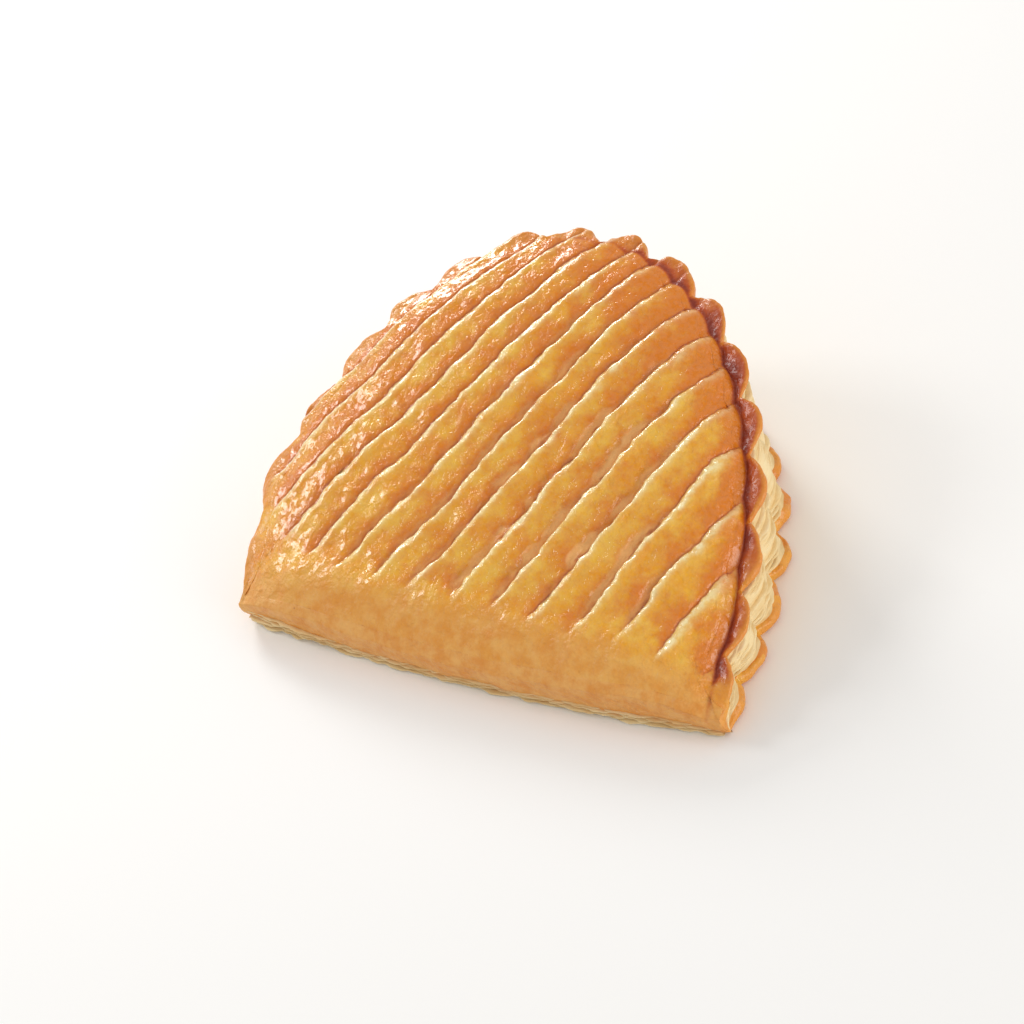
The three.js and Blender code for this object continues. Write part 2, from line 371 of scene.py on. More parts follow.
def pushOut(start, shape, height):                          # move points along the surface normal
    normal = start.add("GeometryNodeInputNormal")
    offset = start.add("ShaderNodeVectorMath", {"operation": "SCALE"}, {0: normal, "Scale": height * mm})
    return start.add("GeometryNodeSetPosition", None, {"Geometry": shape, "Offset": offset})


# relief of the crust, in pastry millimetres: the tree's inputs, then where each form lies
relief = {
    "inputs": {"Ridge": 1.3, "Slope": 1.1, "Recess": 0.8, "Groove": 0.3, "Blister": 1.7, "Grain": 0.5,
               "Seed": 21.0},
    "edgeNoise": (3.2, 2.0, 0.6, 11.0), "edgeVary": 1.4, "edgeLeast": 0.4, "closedShare": 0.3,
    "slopeLength": 2.4, "grooveWidth": 0.28,
    "beadPlace": 1.9, "beadWidth": 1.1, "beadOpen": 0.5, "beadLeast": 0.3,
    "swell": (7.5, 2.0, 0.5), "pimple": (2.1, 2.0, 0.55), "pimpleSeed": 4.0,
}


def crustReliefTree():
    tree, given = newTree("crustRelief", list(relief["inputs"]))
    start = given["Geometry"]
    spot = mmPlace(start.add("GeometryNodeInputPosition"))
    field = slitField(spot, namedMark(start, "reach"))
    edge = noise(spot, *relief["edgeNoise"]) * relief["edgeVary"] + relief["edgeLeast"]
    wall = 1 - smooth(0.0, 1.0, field["left"] / edge)
    wall = field["onLeft"] * wall * (field["openLeft"] + relief["closedShare"])
    slope = field["onRight"] * fade(field["right"], relief["slopeLength"])
    slope = slope * (field["openRight"] + relief["closedShare"])
    groove = slitLines(field, relief["grooveWidth"])
    cut = (wall * given["Ridge"] + slope * given["Slope"] + field["floor"] * given["Recess"]
           + groove * given["Groove"])
    swell = (noise(spot, *relief["swell"], given["Seed"]) - 0.5) * given["Blister"]
    pimple = (noise(spot, *relief["pimple"], given["Seed"] + relief["pimpleSeed"]) - 0.5) * given["Grain"]
    bead = hump((field["left"] - relief["beadPlace"]) / relief["beadWidth"])
    raised = field["onLeft"] * bead * (field["openLeft"] * relief["beadOpen"] + relief["beadLeast"])
    height = (swell + pimple) * namedMark(start, "free") + (raised - cut) * namedMark(start, "inner")
    endTree(start, pushOut(start, given["Geometry"], height), given["Finish"])
    return tree


# materials
def newFinish(name):
    finish = bpy.data.materials.new(name)
    finish.use_nodes = True
    tree = finish.node_tree
    tree.nodes.clear()
    return finish, Wire(tree)


def shaderMark(start, name):
    return start.add("ShaderNodeAttribute", {"attribute_name": name}, None, out="Fac")


def bumped(start, height, look):
    values = {"Strength": look["bumpStrength"], "Distance": look["bumpDepth"] * mm, "Height": height}
    return start.add("ShaderNodeBump", None, values, out="Normal")


def endFinish(start, values):
    surface = start.add("ShaderNodeBsdfPrincipled", None, values)
    output = start.tree.nodes.new("ShaderNodeOutputMaterial")
    start.tree.links.new(surface.socket, output.inputs["Surface"])


# the crust's colours; the pale gold also gives painted light by the ridges, the amber painted shade down the
# flanks, the crest is partly a painted highlight and the dark slit colour is painted shade
crustColours = {
    "paleAndLit": paint(243, 192, 70), "gold": paint(236, 160, 33), "amberAndShade": paint(221, 118, 19),
    "paleCrestHighlight": paint(253, 234, 178), "face": paint(222, 144, 58), "facePale": paint(234, 174, 96),
    "gap": paint(250, 190, 118), "line": paint(182, 76, 26), "edge": paint(220, 140, 54),
    "brown": paint(184, 72, 22), "dark": paint(128, 36, 16),
}

# where those colours lie: a pair is a smooth step's range, four numbers are a noise
glaze = {
    "patch": (8.0, 3.0, 0.6, 2.0), "fleck": (2.4, 3.0, 0.6, 6.0), "stainAndFlankShade": (6.0, 4.0, 0.65, 4.0),
    "dapple": (4.0, 3.0, 0.65, 16.0), "broadShare": 0.7, "fineShare": 0.3,
    "paleRange": (0.4, 0.72), "litSideLength": 2.5, "litSideShare": 0.2, "mottleRange": (0.34, 0.66),
    "amberRange": (0.5, 1.0), "flankShadeLength": 3.0, "flankShadeShare": 0.5, "stainShare": 1.1, "bakeShare": 0.32,
    "amberMost": 0.9,
    "ridgePlace": 1.1, "ridgeWidth": 0.9, "crestRange": (0.38, 0.56), "crestVary": 0.6, "crestLeast": 0.35,
    "crestBaked": 0.7,
    "slitShadeWidth": 0.3, "slitShadeRange": (0.15, 0.95), "slitShadeMost": 0.75,
    "lens": (4.5, 1.0, 0.5, 19.0), "lensRange": (0.5, 0.62), "lensEdge": (0.5, 1.0), "lensMost": 0.9,
    "speckGap": 14.0, "speckSize": 0.45, "speckEdge": (0.5, 1.0), "speckMost": 0.7,
}

# the rim's golden edge, and its seam and lobes browned in two levels
toasting = {
    "spots": (5.0, 3.0, 0.6, 9.0), "edgeRange": (2.0, 5.0), "edgeMost": 0.7,
    "creaseVary": 2.0, "creaseWidth": 1.4, "lobeRange": (-0.6, 0.6), "seamShare": 0.5, "most": 0.9,
    "toasted": {"range": (0.35, 0.8), "lobeShare": 0.75, "spotShare": 0.5, "inside": (0.3, 1.4)},
    "scorched": {"range": (0.6, 1.05), "lobeShare": 0.7, "spotShare": 0.9, "inside": (0.7, 2.2)},
}

# the glaze's shine: dull on the folded face, the slits' floors and the toasted rim
gloss = {
    "faceDull": 0.9, "floorDull": 0.9, "toastDull": 0.65,
    "rimRange": (0.5, 3.0), "rimVary": 0.6, "rimLeast": 0.4,
    "crackle": (1.0, 2.0, 0.6, 12.0), "crackleShare": 0.4,
    "wrinkle": (2.8, 2.0, 0.6, 14.0), "wrinkleShare": 0.6, "bumpStrength": 1.0, "bumpDepth": 1.0,
    "roughness": 0.5, "shineSmooths": 0.34, "roughVary": 0.2, "specular": 0.35,
    "coatRange": (0.38, 0.54), "coatVary": 0.95, "coatLeast": 0.05, "coatRoughness": 0.07,
}


def stripColour(spot, field, fleck, bake, face):            # gold with amber flanks, the flanks' amber a painted shade and each ridge's side paler as painted light, a duller folded face
    patch = noise(spot, *glaze["patch"]) * glaze["broadShare"] + fleck * glaze["fineShare"]
    # painted light: each strip is paler on its side by the ridge, the side that faces the light
    litSide = field["onLeft"] * fade(field["left"], glaze["litSideLength"]) * glaze["litSideShare"]
    paleAndLit = smooth(*glaze["paleRange"], patch + litSide)
    colour = mixColour(paleAndLit, crustColours["gold"], crustColours["paleAndLit"])
    # painted shade: amber down each strip's flank on the side away from the light, added to the real stains
    # and browning
    flankShade = field["onRight"] * fade(field["right"], glaze["flankShadeLength"]) * glaze["flankShadeShare"]
    stainAndFlankShade = flankShade + noise(spot, *glaze["stainAndFlankShade"]) * glaze["stainShare"] + bake * glaze["bakeShare"]
    amberAndShade = smooth(*glaze["amberRange"], stainAndFlankShade) * glaze["amberMost"]
    colour = mixColour(amberAndShade, colour, crustColours["amberAndShade"])
    dapple = fleck * glaze["fineShare"] + noise(spot, *glaze["dapple"]) * glaze["broadShare"]
    mottle = smooth(*glaze["mottleRange"], dapple)
    folded = mixColour(mottle, crustColours["face"], crustColours["facePale"])
    return mixColour(face, colour, folded)


def slitColour(spot, field, fleck, bake, inner, colour):    # pale floors, pale ridges partly whitened as a painted highlight, dark lines and openings as painted shade
    colour = mixColour(field["floor"] * inner, colour, crustColours["gap"])
    # the near-white band along each ridge is partly the paler crest, partly a painted highlight
    ridge = hump((field["left"] - glaze["ridgePlace"]) / glaze["ridgeWidth"])
    broken = smooth(*glaze["crestRange"], fleck) * glaze["crestVary"] + glaze["crestLeast"]
    paleCrestHighlight = field["onLeft"] * ridge * broken * (1 - bake * glaze["crestBaked"]) * inner
    colour = mixColour(paleCrestHighlight, colour, crustColours["paleCrestHighlight"])
    # painted shade: dark lines along the slits
    line = smooth(*glaze["slitShadeRange"], slitLines(field, glaze["slitShadeWidth"]) * inner) * glaze["slitShadeMost"]
    colour = mixColour(line, colour, crustColours["line"])
    # painted shade: short dark openings at the foot of the open slits
    lens = field["openRight"] * smooth(*glaze["lensRange"], noise(spot, *glaze["lens"]))
    lens = lens * (1 - smooth(*glaze["lensEdge"], field["right"])) * inner
    return mixColour(lens * glaze["lensMost"], colour, crustColours["line"])


def rimColour(start, spot, bake, face, reach, colour):      # golden edge, browned seam and lobes
    spots = noise(spot, *toasting["spots"]) - 0.5
    rimEdge = 1 - smooth(*toasting["edgeRange"], reach)
    colour = mixColour(rimEdge * (1 - face) * toasting["edgeMost"], colour, crustColours["edge"])
    fromCrease = shaderMark(start, "seam")
    seam = hump((fromCrease + spots * toasting["creaseVary"]) / toasting["creaseWidth"])
    lobe = 1 - smooth(*toasting["lobeRange"], fromCrease)
    fromEdge = shaderMark(start, "lobe")
    share = {}
    for level, paintName in (("toasted", "brown"), ("scorched", "dark")):
        values = toasting[level]
        heat = bake * (seam * toasting["seamShare"] + lobe * values["lobeShare"])
        heat = heat + spots * values["spotShare"]
        share[level] = smooth(*values["range"], heat) * smooth(*values["inside"], fromEdge)
        colour = mixColour(share[level] * toasting["most"], colour, crustColours[paintName])
    return colour, share["toasted"], fromEdge


def speckled(spot, colour, share):                          # a few tiny burnt specks
    settings = {"voronoi_dimensions": "3D", "feature": "F1"}
    cell = spot.add("ShaderNodeTexVoronoi", settings, {"Vector": spot, "Scale": 1 / glaze["speckGap"]})
    near = 1 - smooth(*glaze["speckEdge"], cell * (glaze["speckGap"] / glaze["speckSize"]))
    return mixColour(near * share * glaze["speckMost"], colour, crustColours["dark"])


def crustFinish():
    finish, start = newFinish("glazedCrust")
    spot = mmPlace(start.add("ShaderNodeTexCoord", None, None, out="Object"))
    reach, bake, face, inner = [shaderMark(start, mark) for mark in ("reach", "bake", "face", "inner")]
    field = slitField(spot, reach)
    fleck = noise(spot, *glaze["fleck"])
    colour = stripColour(spot, field, fleck, bake, face)
    colour = slitColour(spot, field, fleck, bake, inner, colour)
    colour, toasted, fromEdge = rimColour(start, spot, bake, face, reach, colour)
    shine = (1 - face * gloss["faceDull"]) * (1 - field["floor"] * gloss["floorDull"])
    shine = shine * (1 - toasted * gloss["toastDull"])
    shine = shine * (smooth(*gloss["rimRange"], fromEdge) * gloss["rimVary"] + gloss["rimLeast"])
    crackle = noise(spot, *gloss["crackle"])
    coat = smooth(*gloss["coatRange"], crackle) * gloss["coatVary"] + gloss["coatLeast"]
    height = noise(spot, *gloss["wrinkle"]) * gloss["wrinkleShare"] + crackle * gloss["crackleShare"]
    endFinish(start, {
        "Base Color": speckled(spot, colour, face),
        "Roughness": gloss["roughness"] - shine * gloss["shineSmooths"] + (fleck - 0.5) * gloss["roughVary"],
        "Specular IOR Level": gloss["specular"],
        "Coat Weight": shine * coat, "Coat Roughness": gloss["coatRoughness"],
        "Normal": bumped(start, height, gloss)})
    return finish


# the pale dough layers of the side and the fold
layerLook = {
    "cream": paint(242, 220, 172), "shade": paint(230, 196, 134), "toast": paint(214, 152, 80),
    "edge": paint(196, 122, 58), "flatten": (0.25, 0.25, 1.6),
    "sheet": (1.6, 3.0, 0.6, 1.0), "patch": (6.0, 2.0, 0.6, 2.0), "grain": (0.8, 2.0, 0.6, 5.0),
    "shadeRange": (0.35, 0.7), "sheetShare": 0.6, "patchShare": 0.4,
    "toastRange": (0.25, 0.95), "toastVary": 0.7, "edgeRange": (0.85, 1.4), "edgeVary": 0.8,
    "sheetDepth": 0.7, "grainDepth": 0.3, "bumpStrength": 0.7, "bumpDepth": 0.5,
    "roughness": 0.6, "roughVary": 0.15, "specular": 0.3,
}


def layerFinish():
    finish, start = newFinish("flakyLayers")
    look = layerLook
    spot = mmPlace(start.add("ShaderNodeTexCoord", None, None, out="Object"))
    toast = shaderMark(start, "toast")
    flat = start.add("ShaderNodeVectorMath", {"operation": "MULTIPLY"}, {0: spot, 1: look["flatten"]})
    sheet = noise(flat, *look["sheet"])
    patch = noise(spot, *look["patch"])
    shade = smooth(*look["shadeRange"], sheet * look["sheetShare"] + patch * look["patchShare"])
    colour = mixColour(shade, look["cream"], look["shade"])
    toasted = smooth(*look["toastRange"], toast + (patch - 0.5) * look["toastVary"])
    colour = mixColour(toasted, colour, look["toast"])
    edge = smooth(*look["edgeRange"], toast + (sheet - 0.5) * look["edgeVary"])
    height = sheet * look["sheetDepth"] + noise(spot, *look["grain"]) * look["grainDepth"]
    endFinish(start, {
        "Base Color": mixColour(edge, colour, look["edge"]),
        "Roughness": look["roughness"] + (patch - 0.5) * look["roughVary"],
        "Specular IOR Level": look["specular"], "Normal": bumped(start, height, look)})
    return finish


glazedCrust = crustFinish()
flakyLayers = layerFinish()
crustRelief = crustReliefTree()
crustInputs = {**relief["inputs"], "Finish": glazedCrust}
print("pastry: finishes and trees built")

# the ring: underside, lower lip, flaky wall, scalloped lip, crease and folded face
ring = {
    "rimColumns": 860, "foldColumns": 260, "cornerBlend": 9.0, "foldPull": 0.985,
    "baseRows": 10, "lowerRows": 16, "wallRows": 30, "lipRows": 40, "seamRows": 12,
    "hubX": 0.0, "hubY": 42.0, "baseEdge": 0.96, "smoothing": 3,
    "lowerLip": 3.2, "lowerAhead": 1.2, "wallInset": 2.4, "wallWave": 0.7, "lip": 2.4,
    "lowerWaver": (0.5, 5, 7), "footWaver": (0.7, 8, 6),    # wavers: most, length, seed
    "lowerEdge": ((1.6, 0), (0.3, 0.8), (0, 1.7), (0.3, 2.6)), "lowerTop": 1.4,     # inset, height
    "wallFoot": (0.6, 0.5), "wallMiddle": ((-0.7, 0.3), (-0.5, 0.65)), "wallTop": 0.5,
    "lipEdge": ((0.25, 0.8), (0, 0.45), (0.06, 0.1)),       # share of the lobe's width, share of the lip
    "lobeTop": ((0.3, 0.6, 0.15), (0.65, 0.2, 0)),          # share of the width, share of the droop, rise
    "underShare": 0.04, "underTuck": 0.9, "liftFrom": 0.1,
    "seamStart": 0.25, "seamEnd": 5.0, "crustRow": 2, "seamDip": 0.16, "dipOver": (0, 1.5),
    "seamDive": 2.5, "diveOver": (0.8, 2.3), "levelTip": (4.0, 9.0),
    "free": (0.0, 1.2), "bakeBelow": (-4.5, -2.5), "openEdge": (0.2, 1.5), "reliefBelow": (-2.4, -1.5),
    "toastLow": 0.4, "toastLowRange": (1.0, 6.0), "toastHigh": 0.35, "toastHighRange": (-4.5, -2.0),
}


def spread(stops, rows):                                    # rows points along (inset, height) stops
    width = max(np.size(value) for stop in stops for value in stop)
    chain = np.array([[np.broadcast_to(value, (width,)) for value in stop] for stop in stops])
    step = np.linalg.norm(np.diff(chain, axis=0), axis=1)
    at = np.concatenate([np.zeros((1, width)), np.cumsum(step, axis=0)])
    at /= at[-1]
    share = np.linspace(0, 1, rows)
    out = np.empty((rows, 2, width))
    for column in range(width):
        for axis in range(2):
            out[:, axis, column] = np.interp(share, at[:, column], chain[:, axis, column])
    return out


def softened(rows):                                         # rounds the corners of a chain of rows
    for turn in range(ring["smoothing"]):
        rows[1:-1] = 0.25 * rows[:-2] + 0.5 * rows[1:-1] + 0.25 * rows[2:]
    return rows


def rimRows(run):                                           # lower lip, wall, upper lip and crease
    x, y, outX, outY = onArch(run)
    notch = scallop(run)
    lower = scallop(run - ring["lowerAhead"]) + waver(run, *ring["lowerWaver"])
    droop = waver(run, *plan["tipDroop"])
    wall = ring["wallInset"] + ring["wallWave"] * notch
    crease = creaseAt(run)
    foot = ring["lowerLip"] + waver(run, *ring["footWaver"])

    def plane(inset):                                       # the sloping plane that the rim lies in
        return rimHeight(y - outY * inset)

    tall = plane(wall) - ring["lip"] - foot
    low = [(lower + inset, height) for inset, height in ring["lowerEdge"]]
    low.append((lower + ring["lowerTop"], foot))
    side = [low[-1], (wall + ring["wallFoot"][0], foot + ring["wallFoot"][1])]
    side += [(wall + inset, foot + share * tall) for inset, share in ring["wallMiddle"]]
    side.append((wall + ring["wallTop"], foot + tall + droop))
    narrow = crease - notch
    top = [side[-1]]
    for share, down in ring["lipEdge"]:
        top.append((notch + share * narrow, plane(notch) + droop - down * ring["lip"]))
    for share, droopShare, rise in ring["lobeTop"]:
        inset = notch + share * narrow
        top.append((inset, plane(inset) + droop * droopShare + crown(inset, run) + rise))
    top.append((crease, plane(crease) + crown(crease, run)))
    rows = [spread(low, ring["lowerRows"]), spread(side, ring["wallRows"]), spread(top, ring["lipRows"])]
    rows = softened(np.concatenate(rows))
    return np.stack([x - outX * rows[:, 0], y - outY * rows[:, 0], rows[:, 1]], -1)


def foldRows(x):                                            # the folded face, rounding under to the base
    bow = foldBow(x)
    front = crustHeight(x, -bow, *nearArch(x, -bow))
    under = np.linspace(0, ring["underShare"], ring["lowerRows"] + ring["wallRows"])
    face = np.linspace(ring["underShare"], 1, ring["lipRows"] + 1)[1:]
    rise = np.concatenate([under, face])[:, None]
    tuck = (plan["foldTuck"] + ring["underTuck"]) * (1 - rise) ** plan["foldCurve"]
    return np.stack([np.broadcast_to(x, (len(rise), len(x))), tuck - bow, front * rise], -1)


def seamPoints(edge, inwardX, inwardY):                     # rows that dive in under the crust
    length = np.hypot(inwardX, inwardY)
    reachIn = np.linspace(ring["seamStart"], ring["seamEnd"], ring["seamRows"])[:, None]
    x = edge[:, 0] + inwardX / length * reachIn
    y = edge[:, 1] + inwardY / length * reachIn
    z = crustHeight(x, y, *nearArch(x, y))
    past = reachIn - reachIn[ring["crustRow"]]
    dive = ring["seamDip"] * ease(*ring["dipOver"], past) + ring["seamDive"] * ease(*ring["diveOver"], past)
    tipX, tipY = edge[ring["rimColumns"] - 1, :2]           # the left corner, where the seam stays level
    z -= dive * ease(*ring["levelTip"], np.hypot(x - tipX, y - tipY))
    return np.stack([x, y, z], -1)


def ringPoints():
    run = np.linspace(0, archLength, ring["rimColumns"])
    archX, archY, outX, outY = onArch(run)
    share = ease(0, ring["cornerBlend"], archY)
    rim = rimRows(run)
    corner = foldRows(archX * ring["foldPull"])
    rim = corner + (rim - corner) * share[None, :, None]
    foldX = np.linspace(rim[-1, -1, 0], rim[-1, 0, 0], ring["foldColumns"])[1:-1]
    outer = np.concatenate([rim, foldRows(foldX)], 1)
    lipX, lipY, lipZ = outer[-1].T
    lift = ease(ring["liftFrom"], 1, np.linspace(0, 1, ring["lipRows"]))[:, None]
    outer[-ring["lipRows"]:, :, 2] += (crustHeight(lipX, lipY, *nearArch(lipX, lipY)) - lipZ) * lift
    inwardX = np.concatenate([-outX * share, 0 * foldX])
    inwardY = np.concatenate([(1 - share) - outY * share, 1 + 0 * foldX])
    hub = np.array([ring["hubX"], ring["hubY"], 0])
    inward = np.linspace(ring["baseEdge"], 0, ring["baseRows"], endpoint=False)[:, None, None] ** 2
    base = outer[0] + (hub - outer[0]) * inward
    whole = np.concatenate([base, outer, seamPoints(outer[-1], inwardX, inwardY)])
    return whole, np.concatenate([share, 0 * foldX])


ringShape, rimShare = ringPoints()
seamRow = len(ringShape) - ring["seamRows"] + ring["crustRow"]
crustEdge = ringShape[seamRow, :, :2]                       # the crust starts here, just inside the crease


def splitPiece(whole, name, rows, finish):                  # some rows of the grown ring as a piece
    columns = ringShape.shape[1]
    size = (rows[1] - rows[0]) * columns
    points = np.empty(len(whole.vertices) * 3)
    whole.vertices.foreach_get("co", points)
    points = points.reshape(-1, 3)
    start = rows[0] * columns
    faces = gridFaces(rows[1] - rows[0], columns, closed=True).tolist()
    chosen = list(range(start, start + size))
    if rows[0] == 0:                                        # close the middle of the base
        chosen.append(len(points) - 1)
        faces += [(size, (i + 1) % columns, i) for i in range(columns)]
    marks = {}
    for mark in ("reach", "seam", "lobe", "bake", "inner", "face", "toast"):
        values = np.empty(len(points))
        whole.attributes[mark].data.foreach_get("value", values)
        marks[mark] = values[chosen]
    piece = meshPiece(name, points[chosen], faces, marks)
    piece.data.materials.append(finish)


def makeRing():
    x, y, height = np.moveaxis(ringShape, 2, 0)
    reach, run = nearArch(x, y)
    below = height - rimHeight(y)
    marks = {
        "reach": reach, "seam": reach - creaseAt(run), "lobe": reach - scallop(run),
        "free": ease(*ring["free"], height),
        "bake": browning(run, reach) * ease(*ring["bakeBelow"], below),
        "inner": (np.maximum(openRim(run) * ease(*ring["openEdge"], reach), ease(*slits["inward"], reach))
                  * ease(*ring["reliefBelow"], below) * rimShare),
        "face": (1 - ease(*plan["face"], y)) * (1 - rimShare),
        "toast": (ring["toastLow"] * (1 - ease(*ring["toastLowRange"], height))
                  + ring["toastHigh"] * ease(*ring["toastHighRange"], below)),
    }
    marks = {mark: np.append(np.ravel(values), 0) for mark, values in marks.items()}
    hub = [[ring["hubX"], ring["hubY"], 0]]
    points = place(np.concatenate([ringShape.reshape(-1, 3), hub]))
    whole = meshPiece("ring", points, gridFaces(*ringShape.shape[:2], closed=True).tolist(), marks)
    grown = growTree(whole, crustRelief, crustInputs).data
    lowerEnd = ring["baseRows"] + ring["lowerRows"]
    wallEnd = lowerEnd + ring["wallRows"]
    splitPiece(grown, "underside", (0, lowerEnd), glazedCrust)
    splitPiece(grown, "flakyWall", (lowerEnd - 1, wallEnd), flakyLayers)
    splitPiece(grown, "rimAndFold", (wallEnd - 1, len(ringShape)), glazedCrust)
    bpy.data.objects.remove(whole)


# the crust inside the rim: a grid whose columns follow the slits
crust = {
    "stripColumns": 26, "evenness": 0.55, "rows": 220, "stripGap": 0.02, "endGap": 0.002,
    "lift": 0.05, "sink": 0.16, "sinkOver": (0, 1.5), "cornerSpread": 0.1, "tuck": 0.1, "tuckOver": (0, 0.5),
    "clearEdge": (0.8, 2.0), "clearReach": (7.0, 9.0), "faceMost": 0.8, "faceWaver": (1.0, 6, 2),
}


def stripColumns(first, last):                              # closer together beside the slits
    share = np.arange(crust["stripColumns"]) / crust["stripColumns"]
    share = crust["evenness"] * share + (1 - crust["evenness"]) * (0.5 - 0.5 * np.cos(math.pi * share))
    columns = np.add.outer(np.arange(math.floor(first), math.ceil(last)), share).ravel()
    inside = columns[(columns > first + crust["stripGap"]) & (columns < last - crust["stripGap"])]
    return np.concatenate([[first + crust["endGap"]], inside, [last - crust["endGap"]]])


def crustSpans(edgeX, edgeY):                               # where each column starts at the fold, and ends
    number = stripNumber(edgeX, edgeY)
    high = int(number.argmax())
    front = np.arange(high + 1)                             # along the fold
    back = np.r_[0, np.arange(len(number) - 1, high - 1, -1)]   # along the rim
    columns = stripColumns(number[0], number[high])
    rising = np.maximum.accumulate(number[back])
    endX = np.interp(columns, rising, edgeX[back])
    endY = np.interp(columns, rising, edgeY[back])
    foldY = np.interp(columns, np.maximum.accumulate(number[front]), edgeY[front])
    peak = number[int((np.diff(number[front]) < 0).argmax())]
    # the left corner lies along a strip, so its step is spread over the columns before it
    corner = int(np.searchsorted(columns, peak))
    ahead = ease(columns[corner] - crust["cornerSpread"], columns[corner], columns)
    ahead = ahead * (columns <= columns[corner])
    startY = foldY + (foldY[corner] - foldY) * ahead
    return alongStrip(columns, startY), startY, endX, endY, foldY


def makeCrust():
    first = int(stripNumber(*crustEdge.T).argmin())
    edgeX, edgeY = np.roll(crustEdge, -first, axis=0).T
    startX, startY, endX, endY, foldY = crustSpans(edgeX, edgeY)
    share = np.linspace(0, 1, crust["rows"])[:, None]
    x = startX + (endX - startX) * share
    y = startY + (endY - startY) * share
    reach, run = nearArch(x, y)
    edge = nearest(edgeX, edgeY, x, y)[0]
    z = crustHeight(x, y, reach, run) + crust["lift"]
    z -= (crust["lift"] + crust["sink"]) * (1 - ease(*crust["sinkOver"], edge))
    z -= crust["tuck"] * ease(*crust["tuckOver"], foldY - y)    # lower where it passes under the rim
    clear = np.maximum(ease(*crust["clearEdge"], edge), 1 - ease(*crust["clearReach"], reach))
    marks = {
        "reach": reach, "seam": reach - creaseAt(run), "lobe": reach, "free": 1 + 0 * reach,
        "bake": browning(run, reach),
        "inner": np.maximum(ease(*slits["inward"], reach) * clear, openRim(run)),
        "face": crust["faceMost"] * (1 - ease(*plan["face"], y + waver(x, *crust["faceWaver"]))),
    }
    points = place(np.stack([x, y, z], -1).reshape(-1, 3))
    piece = meshPiece("crust", points, gridFaces(*x.shape).tolist(), marks)
    growTree(piece, crustRelief, crustInputs)
    return len(piece.data.polygons)


# loose sheets of dough in the side and under the fold: one ribbon, stacked by the tree
sheets = {
    "rim": {"columns": 700, "layers": 14, "reachOut": 1.9, "lift": 1.0, "thickness": 0.3, "size": 8.0,
            "seed": 2.0, "bulge": 0.9, "endGap": 3, "sunk": 0.1, "below": 0.4},
    "fold": {"columns": 500, "layers": 4, "reachOut": 1.1, "lift": 0.5, "thickness": 0.3, "size": 5.0,
             "seed": 9.0, "bulge": 0.0, "width": 0.97,
             "low": 0.2, "high": 3.2, "ahead": 0.9, "browned": 0.25,
             "leftEnd": (20, 55), "leftHigh": 1.8, "leftAhead": 0.8, "leftBrowned": 0.2},
    "section": ((0, 0), (0.12, 0.7), (0.6, 1), (3, 1), (3, -1), (0.6, -1), (0.12, -0.7)),
    "fullHeight": 12, "thinning": (0.3, 1.2), "seedStep": 31.0,
    "broadDetail": 1.0, "broadShare": 2.4, "ragged": (1.8, 2.0, 0.6, 3.0), "raggedShare": 0.9,
    "waves": (6.0, 1.0, 0.5, 7.0), "toastRange": (0.3, 1.6), "toastMost": 0.7,
}


def storedMark(start, shape, name, value):
    settings = {"data_type": "FLOAT", "domain": "POINT"}
    values = {"Geometry": shape, "Name": name, "Value": value}
    return start.add("GeometryNodeStoreNamedAttribute", settings, values)


def sheetTree():
    tree, given = newTree("sheetStack", ["Layers", "Reach Out", "Lift", "Bulge", "Patch Size", "Seed"])
    start = given["Geometry"]
    line = start.add("GeometryNodeMeshLine", None, {"Count": given["Layers"], "Offset": (0, 0, 0)})
    numbered = storedMark(start, line, "layer", start.add("GeometryNodeInputIndex"))
    copies = {"Points": numbered, "Instance": given["Geometry"]}
    stack = start.add("GeometryNodeInstanceOnPoints", None, copies)
    loose = start.add("GeometryNodeRealizeInstances", None, {0: stack})
    layer = namedMark(start, "layer")
    share = (layer + 0.5) / given["Layers"]
    spot = mmPlace(start.add("GeometryNodeInputPosition"))
    shift = start.add("ShaderNodeCombineXYZ", None, {2: layer * sheets["seedStep"] + given["Seed"]})
    own = start.add("ShaderNodeVectorMath", {"operation": "ADD"}, {0: spot, 1: shift})
    broad = start.add("ShaderNodeTexNoise", None, {
        "Vector": own, "Scale": 1 / given["Patch Size"], "Detail": sheets["broadDetail"]})
    ragged = noise(own, *sheets["ragged"]) - 0.5
    out = (broad - 0.5) * sheets["broadShare"] * given["Reach Out"] + ragged * sheets["raggedShare"]
    bulge = (share * math.pi).maths("SINE") * given["Bulge"]
    low = namedMark(start, "low")
    lifted = (noise(own, *sheets["waves"]) - 0.5) * given["Lift"]
    rise = low + (namedMark(start, "high") - low) * share + lifted
    sideways = (out + bulge) * mm
    offset = start.add("ShaderNodeCombineXYZ", None, {
        0: namedMark(start, "outX") * sideways, 1: namedMark(start, "outY") * sideways, 2: rise * mm})
    moved = start.add("GeometryNodeSetPosition", None, {"Geometry": loose, "Offset": offset})
    toast = smooth(*sheets["toastRange"], out) * sheets["toastMost"] + namedMark(start, "browned")
    endTree(start, storedMark(start, moved, "toast", toast), given["Finish"])
    return tree


